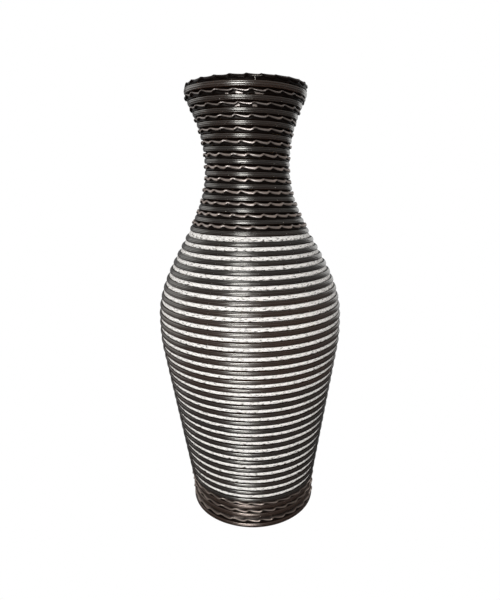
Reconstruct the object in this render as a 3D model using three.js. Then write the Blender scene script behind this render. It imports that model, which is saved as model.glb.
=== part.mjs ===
import * as THREE from 'three';

// A tall woven vase, in millimetres, standing on z = 0 with its front towards -Y.
// Twelve bamboo slats stand round a base board, held in shape by hoops inside them.
// A black strip winds down outside the slats in one long spiral. Between its turns lies
// a twisted cord in the neck and the foot, and a flat white strip on the body.

// The outer face of the slats, from the rim down to the foot
const height = 605;
const rimRadius = 76;
const waistRadius = 54.4;
const waistHeight = 501;
const bellyRadius = 127;
const bellyHeight = 296;
const taperTopRadius = 124.6;
const taperTopHeight = 251;
const footTopRadius = 90;
const footTopHeight = 34.5;
const footRadius = 89.4;

// Slats, hoops and base board
const slatCount = 12;
const slatPhase = 6;
const slatWidth = 8;
const slatThickness = 4;
const slatSetback = 0.7;
const slatTopGap = 3;
const slatFootGap = 0.8;
const hoopThickness = 3;
const hoopWidth = 12;
const rimHoopDepth = 10;
const hoopHeights = {
  rim: height - rimHoopDepth,
  neck: waistHeight,
  shoulder: (waistHeight + bellyHeight) / 2,
  belly: bellyHeight,
  lower: bellyHeight / 2,
};
const boardThickness = 9;
const boardChamfer = 0.8;

// Windings, measured down the side of the vase
const clearance = 0.3;
const stripWidth = 7.2;
const stripRise = 4;
const cordRise = 5.3;
const whiteThickness = 1.2;
const firstRow = 10.4;
const topPitch = 14.85;
const topTurns = 3;
const neckPitch = 15.65;
const footPitch = 15;
const rimCordWidth = 9;

// A winding is counted in steps, 24 to a turn, with step 0 at the first slat right of the front.
// Half steps lie between two corners, and the windings end there.
const stepsPerTurn = 24;
const blackStart = -8.5;
const neckCordStart = 7.5;
const neckMiddle = 155.5;
const neckEnd = 299.5;
const bodyLengths = 3;
const turnsPerLength = 10;
const bodyEnd = neckEnd + bodyLengths * turnsPerLength * stepsPerTurn;
const footCordEnd = 1089.5;
const blackEnd = 1091.5;

// How much of its way down the body the black strip has made, in turns and as a share.
// It comes down faster over the last turns.
const bodyDrop = [[0, 0], [22, 0.725], [bodyLengths * turnsPerLength, 1]];

// How far the black strip has come down from the body's end, in steps and foot pitches.
// Its last turn lies level on the floor, so the turns above it level out towards it.
const footDrop = [
  [0, 0], [12.1, 0.4], [21.7, 0.7], [26.5, 1.06], [36.1, 1.333], [46.9, 1.5], [50.5, 2.32], [60.1, 2.455],
];
const footRows = footDrop[footDrop.length - 1][1];

// How far each end of a curve pulls along its own direction, as a share of the curve's rise or run
const rimPull = { run: 0.46, rise: 0.156 };
const waistPullUp = 0.678;
const waistPullDown = 0.38;
const bellyPullUp = 0.362;
const bellyPullDown = 0.235;
const taperPull = 0.43;

const flat = (radius, z) => new THREE.Vector2(radius, z);

function sideCurve() {
  const neckRise = height - waistHeight;
  const shoulderRise = waistHeight - bellyHeight;
  const bellyRise = bellyHeight - taperTopHeight;
  const rim = flat(rimRadius, height);
  const waist = flat(waistRadius, waistHeight);
  const belly = flat(bellyRadius, bellyHeight);
  const taperTop = flat(taperTopRadius, taperTopHeight);
  const footTop = flat(footTopRadius, footTopHeight);
  const foot = flat(footRadius, 0);
  const rimBend = flat(rimRadius + rimPull.run * (rimRadius - waistRadius), height - rimPull.rise * neckRise);
  const waistTop = flat(waistRadius, waistHeight + waistPullUp * neckRise);
  const waistBottom = flat(waistRadius, waistHeight - waistPullDown * shoulderRise);
  const bellyTop = flat(bellyRadius, bellyHeight + bellyPullUp * shoulderRise);
  const bellyBottom = flat(bellyRadius, bellyHeight - bellyPullDown * bellyRise);
  const taperOn = taperTop.clone().sub(footTop).setLength(taperPull * bellyRise).add(taperTop);
  const path = new THREE.CurvePath();
  path.add(new THREE.CubicBezierCurve(rim, rimBend, waistTop, waist));
  path.add(new THREE.CubicBezierCurve(waist, waistBottom, bellyTop, belly));
  path.add(new THREE.CubicBezierCurve(belly, bellyBottom, taperOn, taperTop));
  path.add(new THREE.LineCurve(taperTop, footTop));
  path.add(new THREE.LineCurve(footTop, foot));
  return path;
}

const side = sideCurve();
const sideLength = side.getLength();

// A point some way down the side, lifted off the slats' outer face
function spot(down, lift) {
  const share = THREE.MathUtils.clamp(down / sideLength, 0, 1);
  const at = side.getPoint(share);
  const along = side.getTangent(share);
  return flat(at.x - along.y * lift, at.y + along.x * lift);
}

// How far down the side a height lies, to this length
const closeEnough = 0.01;

function downTo(z) {
  let low = 0;
  let high = sideLength;
  while (high - low > closeEnough) {
    const middle = (low + high) / 2;
    if (side.getPoint(middle / sideLength).y > z) low = middle;
    else high = middle;
  }
  return low;
}

function between(table, x) {
  const last = table.length - 1;
  let i = 0;
  while (i < last - 1 && x > table[i + 1][0]) i += 1;
  const [x0, y0] = table[i];
  const [x1, y1] = table[i + 1];
  return y0 + (y1 - y0) * THREE.MathUtils.clamp((x - x0) / (x1 - x0), 0, 1);
}

// The black strip's middle line, as the distance down the side at a step. The last turn stands
// just off the floor, and the body's turns share what is left between the neck and the foot.
const stepAtFront = -slatPhase * stepsPerTurn / 360;
const lastRow = sideLength - stripWidth / 2 - clearance;

function neckRow(step) {
  const turns = (step - stepAtFront) / stepsPerTurn;
  return firstRow + topPitch * Math.min(turns, topTurns) + neckPitch * Math.max(turns - topTurns, 0);
}

function blackRow(step) {
  if (step < neckEnd) return neckRow(step);
  const bodyTop = neckRow(neckEnd);
  const bodyBottom = lastRow - footPitch * footRows;
  const bodyTurns = (step - neckEnd) / stepsPerTurn;
  if (step < bodyEnd) return bodyTop + (bodyBottom - bodyTop) * between(bodyDrop, bodyTurns);
  return bodyBottom + footPitch * between(footDrop, step - bodyEnd);
}

// The edges of what lies above the black strip at a step: cord or white strip
function upperEdge(step) {
  if (step - stepsPerTurn < blackStart) return rimCordWidth + clearance;
  return blackRow(step - stepsPerTurn) + stripWidth / 2 + clearance;
}

function lowerEdge(step) {
  return blackRow(step) - stripWidth / 2 - clearance;
}

// The corners are set out so that the flats between them reach the true radius towards X and Y.
const cornerReach = 1 / Math.cos(THREE.MathUtils.degToRad(slatPhase));

function corner(place, step) {
  const angle = THREE.MathUtils.degToRad(slatPhase + step * 360 / stepsPerTurn);
  const radius = place.x * cornerReach;
  return new THREE.Vector3(radius * Math.sin(angle), -radius * Math.cos(angle), place.y);
}

function section(shape, step) {
  return shape(step).map(([down, lift]) => corner(spot(down, lift), step));
}

// A half step is the middle of the straight piece between two corners, less half the end gap.
function endSection(shape, step, inward) {
  const before = section(shape, Math.floor(step));
  const after = section(shape, Math.ceil(step));
  return before.map((point, i) => {
    const length = point.distanceTo(after[i]);
    return point.clone().lerp(after[i], 0.5 + inward * clearance / 2 / length);
  });
}

function solid(sections) {
  const sides = sections[0].length;
  const positions = sections.flat().flatMap((point) => [point.x, point.y, point.z]);
  const index = [];
  for (let row = 0; row < sections.length - 1; row += 1) {
    for (let i = 0; i < sides; i += 1) {
      const a = row * sides + i;
      const b = row * sides + (i + 1) % sides;
      index.push(a, b, a + sides, b, b + sides, a + sides);
    }
  }
  const last = (sections.length - 1) * sides;
  for (let a = 0, b = sides - 1; a + 1 < b; a += 1, b -= 1) {
    index.push(a, b, a + 1, last + a, last + a + 1, last + b);
    if (a + 1 < b - 1) index.push(a + 1, b, b - 1, last + a + 1, last + b - 1, last + b);
  }
  const geometry = new THREE.BufferGeometry();
  geometry.setAttribute('position', new THREE.Float32BufferAttribute(positions, 3));
  geometry.setIndex(index);
  geometry.computeVertexNormals();
  return geometry;
}

function wound(shape, first, last) {
  const sections = [endSection(shape, first, 1)];
  for (let step = Math.ceil(first); step < last; step += 1) sections.push(section(shape, step));
  sections.push(endSection(shape, last, -1));
  return solid(sections);
}

// Winding sections, each a list of distances down the side and lifts off the slats
function blackOnSlats(step) {
  const middle = blackRow(step);
  return [[middle - stripWidth / 2, 0], [middle, stripRise], [middle + stripWidth / 2, 0]];
}

function blackOnWhite(step) {
  const middle = blackRow(step);
  const back = whiteThickness + clearance;
  return [[middle - stripWidth / 2, back], [middle, stripRise], [middle + stripWidth / 2, back]];
}

function cord(step) {
  const top = upperEdge(step);
  const bottom = lowerEdge(step);
  return [[top, 0], [(top + bottom) / 2, cordRise], [bottom, 0]];
}

function rimCord(step) {
  const bottom = Math.min(lowerEdge(step), rimCordWidth);
  return [[0, 0], [0, cordRise], [bottom, cordRise], [bottom, 0], [bottom / 2, 0]];
}

// One length of the white strip, as a wall behind the black turns with a row to each turn.
// A wall meets the next one behind a black turn. The first starts below the neck's last turn.
function whiteWall(isFirst, isLast) {
  return (step) => {
    const top = isFirst ? upperEdge(step) : blackRow(step - stepsPerTurn) + clearance / 2;
    const lastTurn = blackRow(step + (turnsPerLength - 1) * stepsPerTurn);
    const bottom = isLast ? lastTurn + stripWidth / 2 : lastTurn - clearance / 2;
    const outer = [];
    const inner = [];
    for (let row = 0; row <= turnsPerLength; row += 1) {
      const down = top + row * (bottom - top) / turnsPerLength;
      outer.push([down, whiteThickness]);
      inner.unshift([down, 0]);
    }
    return outer.concat(inner);
  };
}

// A slat follows the side from rim to foot, in straight pieces along each of the side's curves.
const slatPieces = [11, 18, 4, 1, 1];

function slatStations() {
  const stations = [];
  let down = 0;
  side.curves.forEach((curve, i) => {
    const length = curve.getLength();
    for (let k = 0; k < slatPieces[i]; k += 1) stations.push(down + k * length / slatPieces[i]);
    down += length;
  });
  stations[0] = slatTopGap;
  stations.push(sideLength - slatFootGap);
  return stations;
}

function slat() {
  const half = slatWidth / 2;
  const outer = -slatSetback;
  const inner = outer - slatThickness;
  const sections = slatStations().map((down) => {
    const face = spot(down, outer);
    const back = spot(down, inner);
    return [
      new THREE.Vector3(face.x, half, face.y),
      new THREE.Vector3(face.x, -half, face.y),
      new THREE.Vector3(back.x, -half, back.y),
      new THREE.Vector3(back.x, half, back.y),
    ];
  });
  return solid(sections);
}

function hoop(z) {
  const middle = downTo(z);
  const outer = -slatSetback - slatThickness - clearance;
  const inner = outer - hoopThickness;
  const top = middle - hoopWidth / 2;
  const bottom = middle + hoopWidth / 2;
  const outline = [spot(bottom, inner), spot(bottom, outer), spot(top, outer), spot(top, inner), spot(bottom, inner)];
  return new THREE.LatheGeometry(outline, 48).rotateX(Math.PI / 2);
}

function baseBoard() {
  const radius = footRadius - slatSetback - slatThickness - clearance;
  const outline = [
    flat(0, 0),
    flat(radius - boardChamfer, 0),
    flat(radius, boardChamfer),
    flat(radius, boardThickness - boardChamfer),
    flat(radius - boardChamfer, boardThickness),
    flat(0, boardThickness),
  ];
  return new THREE.LatheGeometry(outline, 48).rotateX(Math.PI / 2);
}

const bamboo = { color: 0xc9a36a, roughness: 0.6, metalness: 0 };
const plywood = { color: 0xb98f5c, roughness: 0.75, metalness: 0 };
const blackStrip = { color: 0x14110f, roughness: 0.32, metalness: 0 };
const brownCord = { color: 0x2f211b, roughness: 0.7, metalness: 0 };
const whiteStrip = { color: 0xe4e0d6, roughness: 0.6, metalness: 0 };

const vase = new THREE.Group();
vase.name = 'woven_vase';

function add(name, geometry, look) {
  const mesh = new THREE.Mesh(geometry, new THREE.MeshStandardMaterial(look));
  mesh.name = name;
  vase.add(mesh);
  return mesh;
}

add('base_board', baseBoard(), plywood);
for (let i = 0; i < slatCount; i += 1) {
  const mesh = add(`slat_${String(i + 1).padStart(2, '0')}`, slat(), bamboo);
  mesh.rotation.z = THREE.MathUtils.degToRad(slatPhase - 90 + i * 360 / slatCount);
}
Object.entries(hoopHeights).forEach(([name, z]) => add(`${name}_hoop`, hoop(z), bamboo));
add('rim_cord', wound(rimCord, blackStart, blackStart + stepsPerTurn), brownCord);
['upper', 'middle', 'lower'].forEach((part, i) => {
  const first = neckEnd + i * turnsPerLength * stepsPerTurn;
  const wall = whiteWall(i === 0, i === bodyLengths - 1);
  add(`body_white_strip_${part}`, wound(wall, first, first + stepsPerTurn), whiteStrip);
});

// The least gap of each winding to itself, measured from turn to turn on its corners and edges
function leastGap(shape, first, last) {
  let least = Infinity;
  for (let step = Math.ceil(first); step + stepsPerTurn < last; step += 1) {
    const here = section(shape, step);
    const next = section(shape, step + stepsPerTurn);
    for (let k = 0; k <= 8; k += 1) {
      for (let i = 0; i < here.length; i += 1) {
        const point = here[i].clone().lerp(here[(i + 1) % here.length], k / 8);
        for (let j = 0; j < next.length; j += 1) {
          const edge = new THREE.Line3(next[j], next[(j + 1) % next.length]);
          const nearest = edge.closestPointToPoint(point, true, new THREE.Vector3());
          least = Math.min(least, point.distanceTo(nearest));
        }
      }
    }
  }
  return least.toFixed(2);
}

const windings = [
  ['neck_twisted_cord_upper', cord, neckCordStart, neckMiddle, brownCord],
  ['neck_twisted_cord_lower', cord, neckMiddle, neckEnd, brownCord],
  ['foot_twisted_cord', cord, bodyEnd, footCordEnd, brownCord],
  ['neck_black_strip_upper', blackOnSlats, blackStart, neckMiddle, blackStrip],
  ['neck_black_strip_lower', blackOnSlats, neckMiddle, neckEnd, blackStrip],
  ['foot_black_strip', blackOnSlats, bodyEnd, blackEnd, blackStrip],
];
['upper', 'middle', 'lower'].forEach((part, i) => {
  const first = neckEnd + i * turnsPerLength * stepsPerTurn;
  const last = first + turnsPerLength * stepsPerTurn;
  windings.push([`body_black_strip_${part}`, blackOnWhite, first, last, blackStrip]);
});
windings.forEach(([name, shape, first, last, look]) => {
  add(name, wound(shape, first, last), look);
  console.log('least gap,', name, leastGap(shape, first, last));
});

export default vase;
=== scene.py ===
import math

import bpy
import numpy as np
from mathutils import Matrix

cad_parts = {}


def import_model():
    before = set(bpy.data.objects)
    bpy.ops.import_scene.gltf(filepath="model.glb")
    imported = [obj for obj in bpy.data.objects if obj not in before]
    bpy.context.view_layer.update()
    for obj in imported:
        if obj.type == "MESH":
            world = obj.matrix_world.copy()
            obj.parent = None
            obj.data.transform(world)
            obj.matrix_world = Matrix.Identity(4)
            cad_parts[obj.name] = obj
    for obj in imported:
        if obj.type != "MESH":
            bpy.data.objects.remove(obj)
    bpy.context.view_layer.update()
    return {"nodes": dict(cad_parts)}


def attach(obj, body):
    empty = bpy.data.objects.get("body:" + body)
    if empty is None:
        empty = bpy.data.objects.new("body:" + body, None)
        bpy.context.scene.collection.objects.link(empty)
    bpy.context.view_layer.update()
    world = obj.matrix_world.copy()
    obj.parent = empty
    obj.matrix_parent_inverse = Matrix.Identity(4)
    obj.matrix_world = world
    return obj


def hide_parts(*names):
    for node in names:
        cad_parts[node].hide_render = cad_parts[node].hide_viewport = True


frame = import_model()

# Sizes are in metres, and those of the vase and its rows are the solids' own. Its front faces -Y.
HEIGHT = 0.605
RIM_RADIUS = 0.076
WAIST_RADIUS = 0.0544
WAIST_HEIGHT = 0.501
BELLY_RADIUS = 0.127
BELLY_HEIGHT = 0.296
TAPER_TOP = (0.1246, 0.251)
FOOT_TOP = (0.0900, 0.0345)
FOOT_RADIUS = 0.0894

# How far each end of a side curve pulls along its own direction, as a share of its rise or run
RIM_PULL_RUN = 0.46
RIM_PULL_RISE = 0.156
WAIST_PULL_UP = 0.678
WAIST_PULL_DOWN = 0.38
BELLY_PULL_UP = 0.362
BELLY_PULL_DOWN = 0.235
TAPER_PULL = 0.43

# Windings, measured down the vase's side and out from the slats
STRIP_WIDTH = 0.0072
STRIP_RISE = 0.004
CORD_RISE = 0.0053
RIM_CORD_WIDTH = 0.009
CLEARANCE = 0.0003
FIRST_ROW = 0.0104
TOP_PITCH = 0.01485
TOP_TURNS = 3
NECK_PITCH = 0.01565
FOOT_PITCH = 0.015

# Where the windings start and end, in turns from the front, to the right and down. The solids
# have 24 steps to a turn.
STEPS_PER_TURN = 24
BODY_TURNS = 30
BLACK_START = -8.1 / STEPS_PER_TURN
NECK_CORD_START = 7.9 / STEPS_PER_TURN
NECK_END = 299.9 / STEPS_PER_TURN
BODY_END = NECK_END + BODY_TURNS
FOOT_CORD_END = 1089.9 / STEPS_PER_TURN
BLACK_END = 1091.9 / STEPS_PER_TURN

# How far the black strip has come down the body, as a share, and down the foot, in foot pitches,
# at turns from where each starts
BODY_DROP_TURNS = [0, 22, BODY_TURNS]
BODY_DROP = [0, 0.725, 1]
FOOT_DROP_TURNS = np.array([0, 12.1, 21.7, 26.5, 36.1, 46.9, 50.5, 60.1]) / STEPS_PER_TURN
FOOT_DROP = [0, 0.40, 0.70, 1.06, 1.333, 1.50, 2.32, 2.455]

# Sections to a turn, which are closest where a winding changes fastest along its length
BLACK_SECTIONS = 120
WHITE_SECTIONS = 240
CORD_SECTIONS = 420

# The faces of the strips and cords stay this far inside the solids'.
FACE_INSET = 0.0001

# The black strip: cores side by side with grooves between them, rounded off to both edges. Its
# back lies on the slats, or a little off them on the body.
CORES = 3
CORE_STEPS = 8
STRIP_ROUNDING = 0.0021
STRIP_BULGE = 2.2
GROOVE_DEPTH = 0.0005
BODY_STRIP_BACK = 0.0004

# Painted shade: the strip loses its gloss in the grooves and along both edges, where shade falls
# between its cores and under its rounded edges. Towards an edge it starts at the first share of
# the strip's half width, and is full the second share further on.
GROOVE_SHADE = 1.2
LOWER_EDGE_SHADE = (0.62, 0.15)
UPPER_EDGE_SHADE = (0.8, 0.12)

# How brown the black strip is at some turns. Round the vase the brown swings about a share of
# that, and it is fullest a little right of the front: this swing is a painted brown tint of the
# light falling there.
WARM_TURNS = [0, 4, 12, 17, 20, 28, 31, 36, 42]
WARMTH = [0.5, 0.2, 0, 0, 0.9, 0.8, 0.3, 0.1, 0.2]
WARM_SHARE = 0.7
WARMEST = 0.04

# The white strip: how far it stands out at some shares of its width from its upper edge, how far
# it reaches behind the black rows, and how far its lower edge is cut short. A nick starts where
# its noise passes the first of NICK_NOISE, and is full where it is the second above that.
BARK_SHARES = np.array([0, 0.06, 0.3, 0.55, 0.8, 0.95, 1])
BARK_LIFTS = np.array([0.0012, 0.0017, 0.0018, 0.0018, 0.0017, 0.0015, 0.0009])
BARK_TUCK = 0.0001
BARK_CUT = 0.0004
NICK_DEPTH = 0.0007
NICK_NOISE = (0.68, 0.4)

# The twisted cord: a rolled leaf whose free edge stands out as a rib. Along each twist the rib
# comes down from a crest, and lifts again steeply to where the next twist starts. It is narrower
# at the crest. Its height is averaged over three places, which rounds the crest.
TWIST = 0.0205
RIB_SWING = 0.0014
RIB_LIFTED = 0.0007
RIB_HALF = 0.0018
RIB_BROADEST = 1.05
RIB_NARROWING = 0.2
RIB_BLUR = np.array([[-0.06], [0], [0.06]])
FALL_REACH = 0.33
FALL_POWER = 1.2
CLIMB_START = 0.76

# How far in the rib sways, and how far out it is, from 0 to 1, at some shares of a twist
RIB_SWAY = 0.0018
SWAY_TWIST = [0, 0.15, 0.9, 1]
SWAY_OUT = [0.4, 0, 1, 0.4]

# The rib's section is a blunt arc, from its top at -1.9 radians to its foot at 1.9. The leaf has
# points at some shares of the way from the row's upper edge to the rib, and on to the lower edge.
# It meets the rib at the gaps, in rib half widths from the rib's middle.
RIB_SPIN = np.linspace(-1, 1, 11) * 1.9
RIB_DEPTH = 0.0014
RIB_BLUNTNESS = 0.7
ABOVE_RIB = np.array([0, 0.3, 0.7])
ABOVE_GAP = 1.02
BELOW_RIB = np.array([0.25, 0.6, 0.9, 1])
BELOW_GAP = 1.15
BELOW_LIFTS = np.array([0.0022, 0.0026, 0.0029, 0.0002])

# Each cord's form: how far its rib swings and how broad it is, as shares of the sizes above, how
# far the rib stands out, how far into a twist the cord starts, and its leaf's lifts above the rib
ROW_FORM = {"swing": 1.0, "size": 1.0, "rise": CORD_RISE - FACE_INSET, "start": 0.0092,
            "shoulder": (0.0002, 0.0003, 0.0012)}
RIM_FORM = {"swing": 0.8, "size": 1.0, "rise": CORD_RISE - 0.0010, "start": 0.0073,
            "shoulder": (0.0004, 0.0010, 0.002)}
FOOT_FORM = {"swing": 0.9, "size": 0.66, "rise": CORD_RISE - FACE_INSET, "start": 0.0092,
             "shoulder": (0.0002, 0.0006, 0.0016)}

# How pale and glossy the rib is at some turns, partly wear and partly a painted highlight where
# the light catches it, and where on its arc the band's middle is and how far it spreads, in
# radians. The band is full near its middle, and grows over each twist.
WEAR_SHEEN_TURNS = [0, 2, 4, 8, 12, 14]
WEAR_SHEEN = [0.4, 0.6, 0.75, 0.9, 1.0, 0.6]
WEAR_SHEEN_PLACE_TURNS = [0, 4, 9]
WEAR_SHEEN_PLACE = [-1.0, -0.7, -0.2]
WEAR_SHEEN_SPREAD = [0.6, 0.9, 1.6]
WEAR_SHEEN_MIDDLE = 1.25
WEAR_SHEEN_START = 0.5
WEAR_SHEEN_GROWTH = 0.65

# Painted glints on the cord below the rib, pale and glossy where the lamp's reflection falls:
# where, and how long, in turns
PAINTED_GLINTS = [(0.953, 0.008), (0.984, 0.016), (1.034, 0.024), (1.976, 0.013), (2.024, 0.013)]
GLINT_PALENESS = 0.5

# Nails hold the strips to the slats behind them. The first slat right of the front is at 6 degrees.
SLAT_COUNT = 12
FIRST_SLAT = 6 / 360
NAIL_RINGS = 3
NAIL_SIDES = 8
NAIL_RADIUS = 0.00045
NAIL_LIFT = STRIP_RISE - 0.0007
NAIL_DROP = 0.0016
NAIL_SCATTER = 0.0006

# A bent wire staple in the rim's cord: a crown along the rim, and a thinner leg down from it
STAPLE_TURN = 7.7 / 360
STAPLE_DOWN = 0.0044
STAPLE_HALF = 0.0003
STAPLE_LEG_HALF = 0.7 * STAPLE_HALF
STAPLE_LEG = 0.0036
STAPLE_CROWN = 0.012
STAPLE_CROWN_LEFT = 0.3
STAPLE_FACING = math.radians(-6)

# Floor and room. Strengths are the room's light on matt surfaces and its level in reflections,
# which rises towards the left and behind.
FLOOR_HALF = 3.0
FLOOR_Z = -0.0005
FLOOR_GREY = 0.85
FLOOR_REFLECTED = 0.1
ROOM_LIGHT = 0.43
ROOM_REFLECTED = 0.19
ROOM_SLANT = (-0.03, 0.04, 0.0)

# Lamps aimed at the vase's middle: azimuth from the front to the right and elevation in degrees,
# distance, width and height in metres, and power in watts
LAMP_TARGET = np.array([0, 0, 0.3])
LAMPS = {
    "key": (-12.5, 10, 1.6, 0.6, 0.7, 13),
    "key_edge": (-11, 10, 1.7, 1.35, 0.8, 4.5),
    "left_fill": (-115, 20, 1.8, 1.6, 1.4, 4.5),
    "right_fill": (146, 10, 1.8, 0.9, 1.2, 3),
}

# The camera stands close before the vase and looks a little down. Its lens and sensor are in
# millimetres.
SENSOR_WIDTH = 36
LENS = 28.82
CAMERA_PLACE = (0.00045, -0.6848, 0.4806)
CAMERA_PITCH = math.radians(13.66)
CAMERA_ROLL = math.radians(-1.087)

# Large uneven numbers that turn a cell's number and a seed into a value that looks random
CELL_FACTOR = 127.1
SEED_FACTOR = 311.7
SCATTER_FACTOR = 43758.5453


# The vase's side and its rows

def bezier(p0, p1, p2, p3, steps=400):
    t = np.linspace(0, 1, steps)[:, None]
    p0, p1, p2, p3 = (np.array(p) for p in (p0, p1, p2, p3))
    return (1 - t) ** 3 * p0 + 3 * (1 - t) ** 2 * t * p1 + 3 * (1 - t) * t ** 2 * p2 + t ** 3 * p3


def side_line():
    """The outer face of the slats, from the rim down to the foot."""
    neck_rise = HEIGHT - WAIST_HEIGHT
    shoulder_rise = WAIST_HEIGHT - BELLY_HEIGHT
    belly_rise = BELLY_HEIGHT - TAPER_TOP[1]
    taper = np.subtract(TAPER_TOP, FOOT_TOP)
    rim = (RIM_RADIUS, HEIGHT)
    waist = (WAIST_RADIUS, WAIST_HEIGHT)
    belly = (BELLY_RADIUS, BELLY_HEIGHT)
    rim_flare = RIM_PULL_RUN * (RIM_RADIUS - WAIST_RADIUS)
    rim_bend = (RIM_RADIUS + rim_flare, HEIGHT - RIM_PULL_RISE * neck_rise)
    waist_top = (WAIST_RADIUS, WAIST_HEIGHT + WAIST_PULL_UP * neck_rise)
    waist_bottom = (WAIST_RADIUS, WAIST_HEIGHT - WAIST_PULL_DOWN * shoulder_rise)
    belly_top = (BELLY_RADIUS, BELLY_HEIGHT + BELLY_PULL_UP * shoulder_rise)
    belly_bottom = (BELLY_RADIUS, BELLY_HEIGHT - BELLY_PULL_DOWN * belly_rise)
    taper_on = np.add(TAPER_TOP, taper / np.hypot(*taper) * TAPER_PULL * belly_rise)
    return np.vstack([
        bezier(rim, rim_bend, waist_top, waist),
        bezier(waist, waist_bottom, belly_top, belly)[1:],
        bezier(belly, belly_bottom, taper_on, TAPER_TOP)[1:],
        [FOOT_TOP, (FOOT_RADIUS, 0)],
    ])


def running_length(steps):
    """How far along a line its points are, from the steps between them."""
    return np.concatenate([[0], np.cumsum(steps)])


SIDE = side_line()
SIDE_DOWN = running_length(np.hypot(*np.diff(SIDE, axis=0).T))
SIDE_LENGTH = SIDE_DOWN[-1]
LAST_ROW = SIDE_LENGTH - STRIP_WIDTH / 2 - CLEARANCE


def spot(down, lift):
    """Radius and height of points some way down the side, lifted off the slats' outer face."""
    step = 0.0005

    def side_at(place):
        return [np.interp(place, SIDE_DOWN, SIDE[:, i]) for i in (0, 1)]

    radius, height = side_at(down)
    radius_before, height_before = side_at(np.maximum(down - step, 0))
    radius_after, height_after = side_at(np.minimum(down + step, SIDE_LENGTH))
    run = radius_after - radius_before
    rise = height_after - height_before
    length = np.hypot(run, rise)
    return radius - rise / length * lift, height + run / length * lift


def on_vase(turn, down, lift, around=0.0):
    """A point some way down the side and lifted off it, then moved round the vase to the right."""
    radius, z = spot(down, lift)
    angle = 2 * math.pi * turn + around / radius
    return np.array([radius * math.sin(angle), -radius * math.cos(angle), z])


def neck_row(turn):
    top = TOP_PITCH * np.minimum(turn, TOP_TURNS)
    return FIRST_ROW + top + NECK_PITCH * np.maximum(turn - TOP_TURNS, 0)


def black_row(turn):
    """How far down the side the middle of the black strip is, at turns from the front."""
    neck_drop = neck_row(np.minimum(turn, NECK_END))
    body_drop = LAST_ROW - FOOT_DROP[-1] * FOOT_PITCH - neck_row(NECK_END)
    body_share = np.interp(turn - NECK_END, BODY_DROP_TURNS, BODY_DROP)
    foot_share = np.interp(turn - BODY_END, FOOT_DROP_TURNS, FOOT_DROP)
    return neck_drop + body_drop * body_share + FOOT_PITCH * foot_share


def upper_edge(turn):
    """Where the gap above the black strip starts: under the strip's last turn, or the rim's cord."""
    rim = RIM_CORD_WIDTH + CLEARANCE
    return np.where(turn - 1 < BLACK_START, rim, black_row(turn - 1) + STRIP_WIDTH / 2)


def lower_edge(turn):
    return black_row(turn) - STRIP_WIDTH / 2


# Meshes

def noise(x, seed, scale, size=1):
    """Smooth repeatable noise along a line, up to size either way, with bumps about scale apart."""
    x = np.asarray(x) / scale
    cell = np.floor(x)
    t = x - cell
    t = t * t * (3 - 2 * t)

    def value(n):
        return np.modf(np.sin(n * CELL_FACTOR + seed * SEED_FACTOR) * SCATTER_FACTOR)[0]

    return size * (value(cell) * (1 - t) + value(cell + 1) * t)


def step_up(x, start, reach):
    """0 up to the start, and from there up to 1 over the reach."""
    return np.clip((x - start) / reach, 0, 1)


def columns(rows, *parts):
    """Parts of a section side by side. A part that is the same in each row is repeated."""
    wide = [np.atleast_2d(part) for part in parts]
    return np.concatenate([np.broadcast_to(part, (rows, part.shape[1])) for part in wide], axis=1)


def mesh_object(name, points, faces, material, uv=None, smooth=True):
    mesh = bpy.data.meshes.new(name)
    mesh.from_pydata(np.array(points).tolist(), [], faces)
    if uv is not None:
        layer = mesh.uv_layers.new(name="UVMap")
        index = np.empty(len(mesh.loops), dtype=np.int32)
        mesh.loops.foreach_get("vertex_index", index)
        layer.data.foreach_set("uv", uv[index].astype(np.float32).ravel())
    mesh.materials.append(material)
    mesh.polygons.foreach_set("use_smooth", [smooth] * len(mesh.polygons))
    mesh.update()
    piece = bpy.data.objects.new(name, mesh)
    bpy.context.collection.objects.link(piece)
    return piece


def wind(name, turns, downs, lifts, material):
    """A strip wound round the vase: one closed section, a row of downs and lifts, at each turn."""
    rows, sides = downs.shape
    radius, z = spot(downs, lifts)
    angle = 2 * np.pi * turns[:, None]
    points = np.stack([radius * np.sin(angle), -radius * np.cos(angle), z], axis=-1)
    along = running_length(np.linalg.norm(np.diff(points[:, 0], axis=0), axis=1))
    across = np.hypot(np.diff(downs, axis=1), np.diff(lifts, axis=1)).cumsum(axis=1)
    uv = np.stack([np.broadcast_to(along[:, None], downs.shape), columns(rows, 0, across)], axis=-1)
    corner = np.arange(rows - 1)[:, None] * sides
    side = np.arange(sides)
    a = corner + side
    b = corner + (side + 1) % sides
    faces = np.stack([a, b, b + sides, a + sides], axis=-1).reshape(-1, 4).tolist()
    first = list(range(sides))
    last = [(rows - 1) * sides + i for i in range(sides)]
    faces += [first[::-1], last]
    return mesh_object(name, points.reshape(-1, 3), faces, material, uv.reshape(-1, 2))


def paint(piece, name, amounts):
    """One number for each point of a piece, which its material reads by name."""
    attribute = piece.data.attributes.new(name, "FLOAT", "POINT")
    attribute.data.foreach_set("value", np.clip(amounts, 0, 1).ravel().astype(np.float32))


# Node materials

def new_material(name):
    material = bpy.data.materials.new(name)
    material.use_nodes = True
    tree = material.node_tree
    return material, tree, tree.nodes["Principled BSDF"]


def strip_place(tree):
    """Metres along a winding and across it."""
    node = tree.nodes.new("ShaderNodeUVMap")
    node.uv_map = "UVMap"
    return node.outputs["UV"]


def object_place(tree):
    return tree.nodes.new("ShaderNodeTexCoord").outputs["Object"]


def painted(tree, name):
    """The numbers that paint() gave the piece's points."""
    node = tree.nodes.new("ShaderNodeAttribute")
    node.attribute_name = name
    return node.outputs["Fac"]


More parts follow.
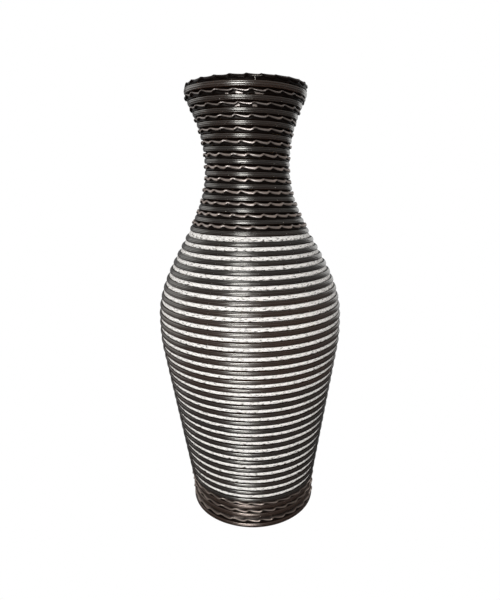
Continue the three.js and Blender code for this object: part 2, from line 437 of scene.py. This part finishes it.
def grain(tree, place, per_metre, detail):
    """Noise with so many cells per metre each way."""
    mapping = tree.nodes.new("ShaderNodeMapping")
    mapping.inputs["Scale"].default_value = per_metre
    tree.links.new(place, mapping.inputs["Vector"])
    node = tree.nodes.new("ShaderNodeTexNoise")
    node.inputs["Scale"].default_value = 1.0
    node.inputs["Detail"].default_value = detail
    tree.links.new(mapping.outputs["Vector"], node.inputs["Vector"])
    return node.outputs["Fac"]


def grey(level):
    return (level, level, level)


def ramp(tree, value, stops):
    """Colours for a value, blended between the stops."""
    node = tree.nodes.new("ShaderNodeValToRGB")
    elements = node.color_ramp.elements
    while len(elements) < len(stops):
        elements.new(0.5)
    for element, (place, colour) in zip(elements, stops.items()):
        element.position = place
        element.color = (*colour, 1)
    tree.links.new(value, node.inputs["Fac"])
    return node.outputs["Color"]


def mixed_colour(tree, amount, plain, other):
    """The plain colour where the amount is 0, and the other one where it is 1."""
    node = tree.nodes.new("ShaderNodeMix")
    node.data_type = "RGBA"
    tree.links.new(amount, node.inputs["Factor"])
    for socket, colour in (("A", plain), ("B", other)):
        if isinstance(colour, tuple):
            node.inputs[socket].default_value = (*colour, 1)
        else:
            tree.links.new(colour, node.inputs[socket])
    return node.outputs["Result"]


def bump(tree, height, shader, distance):
    node = tree.nodes.new("ShaderNodeBump")
    node.inputs["Distance"].default_value = distance
    node.inputs["Strength"].default_value = 1.0
    tree.links.new(height, node.inputs["Height"])
    tree.links.new(node.outputs["Normal"], shader.inputs["Normal"])


def gloss(shader, tint, index):
    shader.inputs["IOR"].default_value = index
    shader.inputs["Specular Tint"].default_value = (*tint, 1)


def black_material(name, dark, light, tint, index):
    """Lacquered black strip, dulled by painted shade in its grooves and along its edges, browner in
    some rows, and with a painted brown tint of the light fullest a little right of the front.
    """
    material, tree, shader = new_material(name)
    brown = (0.025, 0.01, 0.005)
    streaks = grain(tree, strip_place(tree), (4, 2500, 1), detail=3)
    plain = ramp(tree, streaks, {0.3: dark, 0.7: light})
    # Browner in some rows, and a painted brown tint of the light, fullest a little right of the front
    colour = mixed_colour(tree, painted(tree, "warmth"), plain, brown)
    rough = ramp(tree, streaks, {0.3: grey(0.17), 0.75: grey(0.26)})
    # Painted shade: where it is painted, the strip loses its gloss and turns dark
    shine = ramp(tree, painted(tree, "painted_shade"), {0.0: grey(1.0), 1.0: grey(0.03)})
    tree.links.new(colour, shader.inputs["Base Color"])
    tree.links.new(rough, shader.inputs["Roughness"])
    tree.links.new(shine, shader.inputs["Specular IOR Level"])
    gloss(shader, tint, index)
    bump(tree, streaks, shader, distance=0.000006)
    return material


def cord_material(name, pale_dark, pale_light, tint, index):
    """Nearly black leaf, dull, but paler and glossy where it is worn, where a highlight is painted
    on the rib, and where glints are painted below it.
    """
    material, tree, shader = new_material(name)
    fibre = grain(tree, strip_place(tree), (60, 1800, 1), detail=4)
    # Wear with a painted highlight on the rib, and painted glints below it
    pale_sheen = painted(tree, "pale_sheen")
    leaf = ramp(tree, fibre, {0.35: (0.001, 0.0005, 0.0004), 0.7: (0.006, 0.003, 0.002)})
    edge = ramp(tree, fibre, {0.3: pale_dark, 0.7: pale_light})
    shine = ramp(tree, pale_sheen, {0.0: grey(0.04), 0.25: grey(1.0)})
    tree.links.new(mixed_colour(tree, pale_sheen, leaf, edge), shader.inputs["Base Color"])
    tree.links.new(shine, shader.inputs["Specular IOR Level"])
    shader.inputs["Roughness"].default_value = 0.36
    gloss(shader, tint, index)
    bump(tree, fibre, shader, distance=0.0001)
    return material


def low_on_bark(tree):
    """How low on the white strip a place is: a small number that rises towards its lower edge."""
    split = tree.nodes.new("ShaderNodeSeparateXYZ")
    tree.links.new(strip_place(tree), split.inputs["Vector"])
    low = tree.nodes.new("ShaderNodeMapRange")
    low.inputs["From Min"].default_value = 0.0024
    low.inputs["From Max"].default_value = 0.0058
    low.inputs["To Max"].default_value = 0.07
    tree.links.new(split.outputs["Y"], low.inputs["Value"])
    return low.outputs["Result"]


def white_material():
    """Pale bark with grey fibres and dark flecks, more of them near its lower edge."""
    material, tree, shader = new_material("white_strip")
    bark = strip_place(tree)
    fleck = (0.022, 0.015, 0.012)
    fibre = grain(tree, bark, (150, 1100, 1), detail=4)
    pale = ramp(tree, fibre, {
        0.29: (0.16, 0.13, 0.11),
        0.37: (0.60, 0.56, 0.51),
        0.44: (0.86, 0.83, 0.79),
        0.57: (0.93, 0.905, 0.87),
    })
    patches = tree.nodes.new("ShaderNodeMath")
    tree.links.new(grain(tree, bark, (190, 1000, 1), detail=3), patches.inputs[0])
    tree.links.new(low_on_bark(tree), patches.inputs[1])
    flecked = ramp(tree, patches.outputs["Value"], {0.605: grey(0), 0.63: grey(1)})
    tree.links.new(mixed_colour(tree, flecked, pale, fleck), shader.inputs["Base Color"])
    shader.inputs["Roughness"].default_value = 0.55
    bump(tree, fibre, shader, distance=0.0003)
    return material


def wood_material(name, dark, light, per_metre, roughness):
    """Wood whose grain runs along the axis with the fewest cells per metre."""
    material, tree, shader = new_material(name)
    fibre = grain(tree, object_place(tree), per_metre, detail=5)
    tree.links.new(ramp(tree, fibre, {0.3: dark, 0.7: light}), shader.inputs["Base Color"])
    shader.inputs["Roughness"].default_value = roughness
    bump(tree, fibre, shader, distance=0.0002)
    return material


def nail_material():
    material, tree, shader = new_material("nail_steel")
    dull = grain(tree, object_place(tree), (900, 900, 900), detail=2)
    colour = ramp(tree, dull, {0.3: (0.3, 0.27, 0.23), 0.7: (0.6, 0.57, 0.52)})
    tree.links.new(colour, shader.inputs["Base Color"])
    shader.inputs["Metallic"].default_value = 1.0
    shader.inputs["Roughness"].default_value = 0.3
    return material


BLACK = black_material("black_strip", dark=(0.004, 0.002, 0.0015), light=(0.012, 0.007, 0.005),
                       tint=(1, 0.985, 0.93), index=1.94)
BROWN_BLACK = black_material("foot_strip", dark=(0.006, 0.0022, 0.0009), light=(0.02, 0.007, 0.0027),
                             tint=(1, 0.85, 0.76), index=2.05)
CORD = cord_material("twisted_cord", pale_dark=(0.1, 0.072, 0.058), pale_light=(0.36, 0.28, 0.235),
                     tint=(1, 0.92, 0.87), index=2.25)
BROWN_CORD = cord_material("foot_cord", pale_dark=(0.02, 0.008, 0.0045), pale_light=(0.09, 0.045, 0.026),
                           tint=(1, 0.85, 0.76), index=3.4)
WHITE = white_material()
BAMBOO = wood_material("bamboo", dark=(0.36, 0.22, 0.09), light=(0.66, 0.47, 0.24),
                       per_metre=(500, 500, 12), roughness=0.5)
PLYWOOD = wood_material("plywood", dark=(0.42, 0.28, 0.14), light=(0.62, 0.45, 0.26),
                        per_metre=(8, 220, 60), roughness=0.65)
NAIL = nail_material()


# Windings

def turn_stops(first, last, per_turn):
    return np.linspace(first, last, max(int(round((last - first) * per_turn)), 2) + 1)


def black_section(turns, seed, back):
    """A flattened half round of cores side by side, and how much painted shade lies on it."""
    rows = len(turns)
    turns = turns[:, None]
    across = np.linspace(-1, 1, CORES * CORE_STEPS + 1)
    middle = black_row(turns) + noise(turns, seed, scale=0.07, size=0.00015)
    half = STRIP_WIDTH / 2 + noise(turns, seed + 1, scale=0.05, size=0.00012)
    dome = np.sqrt(1 - np.abs(across) ** STRIP_BULGE)
    core = np.sqrt(1 - (np.mod((across + 1) * CORES / 2, 1) * 2 - 1) ** 2)
    tilt = noise(turns, seed + 3, scale=0.3, size=0.0001) * across
    face = STRIP_RISE - FACE_INSET - STRIP_ROUNDING * (1 - dome) - GROOVE_DEPTH * (1 - core) + tilt
    downs = columns(rows, middle + half * across, middle + half, middle - half)
    lifts = columns(rows, np.clip(face, back, STRIP_RISE), back, back)
    # Painted shade in the grooves between the cores and along both edges of the strip
    edges = step_up(across, *LOWER_EDGE_SHADE) + step_up(-across, *UPPER_EDGE_SHADE)
    painted_shade = columns(rows, GROOVE_SHADE * (1 - core) + edges, 1, 1)
    return downs, lifts, painted_shade


def black_winding(name, nodes, first, last, material, seed, back=0.0):
    turns = turn_stops(first, last, BLACK_SECTIONS)
    downs, lifts, painted_shade = black_section(turns, seed, back)
    piece = wind(name, turns, downs, lifts, material)
    paint(piece, "painted_shade", painted_shade)
    # Painted light: a brown tint that swings round the vase, fullest a little right of the front
    painted_front_tint = WARM_SHARE + (1 - WARM_SHARE) * np.cos(2 * np.pi * (turns - WARMEST))
    uneven = noise(turns, seed + 4, scale=0.3, size=0.2)
    warmth = painted_front_tint * (np.interp(turns, WARM_TURNS, WARMTH) + uneven)
    paint(piece, "warmth", np.broadcast_to(warmth[:, None], painted_shade.shape))
    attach(piece, "root")
    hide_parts(*nodes)


def white_winding(name, nodes, first, last):
    """A flat strip of bark whose lower edge is cut a little short, unevenly, with small nicks."""
    turns = turn_stops(first, last, WHITE_SECTIONS)
    rows = len(turns)
    nicks = NICK_DEPTH * step_up(noise(turns, seed=5, scale=0.006), *NICK_NOISE)
    cut = BARK_CUT + noise(turns, seed=6, scale=0.004, size=0.00012) + nicks
    top = upper_edge(turns)[:, None] - BARK_TUCK
    bottom = lower_edge(turns)[:, None] + BARK_TUCK - cut[:, None]
    uneven = [noise(turns, seed=11 + i, scale=0.01, size=0.0001) for i in range(len(BARK_SHARES))]
    downs = columns(rows, top + (bottom - top) * BARK_SHARES, bottom, top)
    lifts = columns(rows, BARK_LIFTS + np.stack(uneven, axis=1), 0, 0)
    piece = wind(name, turns, downs, lifts, WHITE)
    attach(piece, "root")
    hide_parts(*nodes)


def cord_length(turns, start, seed):
    """How far along the cord each turn is. Some noise makes its twists uneven."""
    radius, z = spot(black_row(turns), CORD_RISE)
    steps = np.hypot(2 * np.pi * radius[1:] * np.diff(turns), np.diff(z))
    return start + running_length(steps) + noise(turns, seed, scale=0.07, size=0.0018)


def rib_wave(along):
    """The rib's height in the row, from about 1 at a crest to -1, over each twist."""
    part = np.mod(along / TWIST + RIB_BLUR, 1)
    fall = -1 + 2 * np.exp(-(part / FALL_REACH) ** FALL_POWER)
    climb = step_up(part, CLIMB_START, 1 - CLIMB_START)
    rise = -1 + 2 * climb ** 2 * (3 - 2 * climb)
    return np.maximum(fall, rise).mean(axis=0)


def blunt(x):
    return np.sign(x) * np.abs(x) ** RIB_BLUNTNESS


def rib_wear_and_sheen(turns, twist, seed):
    """How pale and glossy the rib is at each point of its arc: wear, and a painted highlight."""
    amount = np.interp(turns, WEAR_SHEEN_TURNS, WEAR_SHEEN)
    place = np.interp(turns, WEAR_SHEEN_PLACE_TURNS, WEAR_SHEEN_PLACE)
    spread = np.interp(turns, WEAR_SHEEN_PLACE_TURNS, WEAR_SHEEN_SPREAD)
    pale_sheen = np.clip(WEAR_SHEEN_MIDDLE - np.abs(RIB_SPIN - place) / spread, 0, 1)
    grown = WEAR_SHEEN_START + WEAR_SHEEN_GROWTH * twist
    return amount * pale_sheen * grown * (1 + noise(turns, seed + 4, scale=0.02, size=0.3))


def painted_glints(turns):
    """How pale and glossy the cord is below its rib: painted glints. Each glint fades out at its ends.
    """
    pale_sheen = np.zeros_like(turns)
    for place, length in PAINTED_GLINTS:
        pale_sheen = np.maximum(pale_sheen, step_up(-np.abs(turns - place), -length / 2, length / 6))
    return GLINT_PALENESS * pale_sheen


def cord_section(turns, top, bottom, form, seed):
    """A dark roll with a hollow above and below the rib, and how pale and glossy each point of it
    is: wear and a painted highlight on the rib, and painted glints below it.
    """
    rows = len(turns)
    along = cord_length(turns, form["start"], seed)
    turns, top, bottom = turns[:, None], top[:, None], bottom[:, None]
    twist = np.mod(along / TWIST, 1)[:, None]
    wave = rib_wave(along)[:, None]
    swing = form["swing"] * RIB_SWING * (1 + noise(turns, seed + 1, scale=0.06, size=0.25))
    rib = (bottom + top) / 2 - RIB_LIFTED - swing * wave
    size = form["size"] * RIB_HALF * (RIB_BROADEST - RIB_NARROWING * (wave + 1))
    out = form["rise"] - RIB_SWAY * (1 - np.interp(twist, SWAY_TWIST, SWAY_OUT))
    rib_downs = rib + size * blunt(np.sin(RIB_SPIN))
    rib_lifts = out - RIB_DEPTH * (1 - blunt(np.cos(RIB_SPIN)))
    above = top * (1 - ABOVE_RIB) + (rib - size * ABOVE_GAP) * ABOVE_RIB
    below = (rib + size * BELOW_GAP) * (1 - BELOW_RIB) + bottom * BELOW_RIB
    downs = np.clip(columns(rows, above, rib_downs, below, bottom, top), top, bottom)
    lifts = columns(rows, form["shoulder"], rib_lifts, BELOW_LIFTS, 0, 0)
    # Painted glints on the roll below the rib
    below_glints = painted_glints(turns) * (BELOW_RIB < 1)
    # The rib's wear with its painted highlight, and the painted glints below the rib
    pale_sheen = columns(rows, 0 * ABOVE_RIB, rib_wear_and_sheen(turns, twist, seed), below_glints, 0, 0)
    return downs, lifts, pale_sheen


def between_rows(turns):
    return upper_edge(turns), lower_edge(turns)


def under_rim(turns):
    return np.zeros_like(turns), np.minimum(lower_edge(turns), RIM_CORD_WIDTH)


def cord_winding(name, nodes, first, last, edges, form, material, seed):
    """A cord that fills the gap whose upper and lower edge are given at each turn."""
    turns = turn_stops(first, last, CORD_SECTIONS)
    downs, lifts, pale_sheen = cord_section(turns, *edges(turns), form, seed)
    piece = wind(name, turns, downs, lifts, material)
    paint(piece, "pale_sheen", pale_sheen)
    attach(piece, "root")
    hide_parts(*nodes)


def lengths(node, *parts):
    """The names of the solids' lengths that one winding stands for."""
    return [f"{node}_{part}" for part in parts]


def windings():
    black_winding("neck_black_winding", lengths("neck_black_strip", "upper", "lower"),
                  BLACK_START, NECK_END, BLACK, seed=1)
    black_winding("body_black_winding", lengths("body_black_strip", "upper", "middle", "lower"),
                  NECK_END, BODY_END, BLACK, seed=2, back=BODY_STRIP_BACK)
    black_winding("foot_black_winding", ["foot_black_strip"],
                  BODY_END, BLACK_END, BROWN_BLACK, seed=3)
    white_winding("body_white_winding", lengths("body_white_strip", "upper", "middle", "lower"),
                  NECK_END, BODY_END)
    cord_winding("rim_cord_winding", ["rim_cord"],
                 BLACK_START, BLACK_START + 1, under_rim, RIM_FORM, CORD, seed=21)
    cord_winding("neck_cord_winding", lengths("neck_twisted_cord", "upper", "lower"),
                 NECK_CORD_START, NECK_END, between_rows, ROW_FORM, CORD, seed=22)
    cord_winding("foot_cord_winding", ["foot_twisted_cord"],
                 BODY_END, FOOT_CORD_END, between_rows, FOOT_FORM, BROWN_CORD, seed=23)


# Nails and slats

def nail_points(turn, down):
    """A small dome: rings of points from its edge inwards, and its top."""
    points = []
    for ring in range(NAIL_RINGS):
        tilt = math.pi / 2 * ring / NAIL_RINGS
        radius = NAIL_RADIUS * math.cos(tilt)
        lift = NAIL_LIFT + NAIL_RADIUS * math.sin(tilt)
        for side in range(NAIL_SIDES):
            spin = 2 * math.pi * side / NAIL_SIDES
            points.append(on_vase(turn, down + radius * math.cos(spin), lift, radius * math.sin(spin)))
    points.append(on_vase(turn, down, NAIL_LIFT + NAIL_RADIUS))
    return points


def nail_faces(start):
    """Faces of a nail head whose points start at this index, with a flat back."""
    faces = []
    for ring in range(NAIL_RINGS):
        first = start + ring * NAIL_SIDES
        for side in range(NAIL_SIDES):
            a = first + side
            b = first + (side + 1) % NAIL_SIDES
            if ring < NAIL_RINGS - 1:
                faces.append((a, b, b + NAIL_SIDES, a + NAIL_SIDES))
            else:
                faces.append((a, b, first + NAIL_SIDES))
    faces.append(tuple(start + side for side in reversed(range(NAIL_SIDES))))
    return faces


def nails():
    """A small nail head through the black strip at each slat."""
    points = []
    faces = []
    first = math.ceil((BLACK_START - FIRST_SLAT) * SLAT_COUNT)
    last = math.floor((BLACK_END - FIRST_SLAT) * SLAT_COUNT)
    for k in range(first, last + 1):
        turn = FIRST_SLAT + k / SLAT_COUNT
        down = black_row(turn) + NAIL_DROP + noise(k, seed=31, scale=0.9, size=NAIL_SCATTER)
        faces += nail_faces(len(points))
        points += nail_points(turn, down)
    piece = mesh_object("nail_heads", points, faces, NAIL)
    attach(piece, "root")


def add_bar(points, faces, start, end, out, side, half):
    """A straight bar with a square section, whose sides face along out and side."""
    first = len(points)
    for place in (start, end):
        for outwards, sideways in ((-1, -1), (1, -1), (1, 1), (-1, 1)):
            points.append(place + half * (outwards * out + sideways * side))
    for i in range(4):
        j = (i + 1) % 4
        faces.append((first + i, first + j, first + 4 + j, first + 4 + i))
    faces.append(tuple(first + i for i in (3, 2, 1, 0)))
    faces.append(tuple(first + i for i in (4, 5, 6, 7)))


def rim_staple():
    """A bent wire staple in the rim's cord, a little right of the front."""
    points = []
    faces = []
    out = np.array([math.sin(STAPLE_FACING), -math.cos(STAPLE_FACING), 0])
    left = on_vase(STAPLE_TURN, STAPLE_DOWN, CORD_RISE, -STAPLE_CROWN_LEFT * STAPLE_CROWN)
    right = on_vase(STAPLE_TURN, STAPLE_DOWN, CORD_RISE, (1 - STAPLE_CROWN_LEFT) * STAPLE_CROWN)
    add_bar(points, faces, left, right, out, np.array([0, 0, 1]), STAPLE_HALF)
    leg_top = on_vase(STAPLE_TURN, STAPLE_DOWN, CORD_RISE)
    leg_end = on_vase(STAPLE_TURN, STAPLE_DOWN + STAPLE_LEG, CORD_RISE)
    add_bar(points, faces, leg_top, leg_end, out, np.array([1, 0, 0]), STAPLE_LEG_HALF)
    piece = mesh_object("rim_staple", points, faces, NAIL, smooth=False)
    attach(piece, "root")


def framework():
    """The slats, hoops and base board keep the solids' shapes, and get their woods."""
    for name, node in frame["nodes"].items():
        if name.startswith("slat") or name.endswith("hoop"):
            finish = BAMBOO
        elif name == "base_board":
            finish = PLYWOOD
        else:
            continue
        node.data.materials.clear()
        node.data.materials.append(finish)


# Floor, light and camera

def floor():
    """A grey floor that the camera sees plain white, and darker in reflections."""
    material, tree, shader = new_material("floor")
    path = tree.nodes.new("ShaderNodeLightPath")
    colour = mixed_colour(tree, path.outputs["Is Glossy Ray"], grey(FLOOR_GREY), grey(FLOOR_REFLECTED))
    tree.links.new(colour, shader.inputs["Base Color"])
    shader.inputs["Roughness"].default_value = 0.9
    glow = tree.nodes.new("ShaderNodeEmission")
    glow.inputs["Color"].default_value = (1, 1, 1, 1)
    glow.inputs["Strength"].default_value = 1.0
    mix = tree.nodes.new("ShaderNodeMixShader")
    tree.links.new(path.outputs["Is Camera Ray"], mix.inputs["Fac"])
    tree.links.new(shader.outputs["BSDF"], mix.inputs[1])
    tree.links.new(glow.outputs["Emission"], mix.inputs[2])
    tree.links.new(mix.outputs["Shader"], tree.nodes["Material Output"].inputs["Surface"])
    corners = ((-1, -1), (1, -1), (1, 1), (-1, 1))
    points = [(x * FLOOR_HALF, y * FLOOR_HALF, FLOOR_Z) for x, y in corners]
    mesh_object("floor", points, [(0, 1, 2, 3)], material, smooth=False)


def world():
    """A grey room, a little brighter to the left and behind. The camera sees it plain white."""
    room = bpy.data.worlds.new("studio")
    bpy.context.scene.world = room
    room.use_nodes = True
    nodes = room.node_tree.nodes
    links = room.node_tree.links
    path = nodes.new("ShaderNodeLightPath")

    def background(strength):
        node = nodes.new("ShaderNodeBackground")
        node.inputs["Color"].default_value = (1, 1, 1, 1)
        node.inputs["Strength"].default_value = strength
        return node

    def mixed(ray, others, chosen):
        node = nodes.new("ShaderNodeMixShader")
        links.new(path.outputs[ray], node.inputs["Fac"])
        links.new(others.outputs[0], node.inputs[1])
        links.new(chosen.outputs[0], node.inputs[2])
        return node

    direction = nodes.new("ShaderNodeTexCoord")
    slant = nodes.new("ShaderNodeVectorMath")
    slant.operation = "DOT_PRODUCT"
    slant.inputs[1].default_value = ROOM_SLANT
    links.new(direction.outputs["Generated"], slant.inputs[0])
    level = nodes.new("ShaderNodeMath")
    level.inputs[1].default_value = ROOM_REFLECTED
    links.new(slant.outputs["Value"], level.inputs[0])
    reflected = background(1.0)
    links.new(level.outputs["Value"], reflected.inputs["Strength"])
    room_light = mixed("Is Glossy Ray", background(ROOM_LIGHT), reflected)
    seen = mixed("Is Camera Ray", room_light, background(1.0))
    links.new(seen.outputs[0], nodes["World Output"].inputs["Surface"])


def softbox(name, azimuth, elevation, distance, width, height, power):
    """An area lamp that faces the target."""
    data = bpy.data.lights.new(name, "AREA")
    data.shape = "RECTANGLE"
    data.size = width
    data.size_y = height
    data.energy = power
    turn = math.radians(azimuth)
    tilt = math.radians(elevation)
    out = np.array([math.sin(turn) * math.cos(tilt), -math.cos(turn) * math.cos(tilt), math.sin(tilt)])
    place = LAMP_TARGET + distance * out
    face = Matrix.Rotation(turn, 4, "Z") @ Matrix.Rotation(math.pi / 2 - tilt, 4, "X")
    lamp = bpy.data.objects.new(name, data)
    lamp.matrix_world = Matrix.Translation(place.tolist()) @ face
    bpy.context.collection.objects.link(lamp)


def lights():
    for name, setting in LAMPS.items():
        softbox(name, *setting)


def camera():
    data = bpy.data.cameras.new("camera")
    data.sensor_width = SENSOR_WIDTH
    data.lens = LENS
    turned = Matrix.Rotation(math.pi / 2 - CAMERA_PITCH, 4, "X") @ Matrix.Rotation(CAMERA_ROLL, 4, "Z")
    view = bpy.data.objects.new("camera", data)
    view.matrix_world = Matrix.Translation(CAMERA_PLACE) @ turned
    bpy.context.collection.objects.link(view)
    bpy.context.scene.camera = view


camera()
world()
lights()
floor()
windings()
nails()
rim_staple()
framework()
bpy.context.scene.view_settings.view_transform = "Standard"
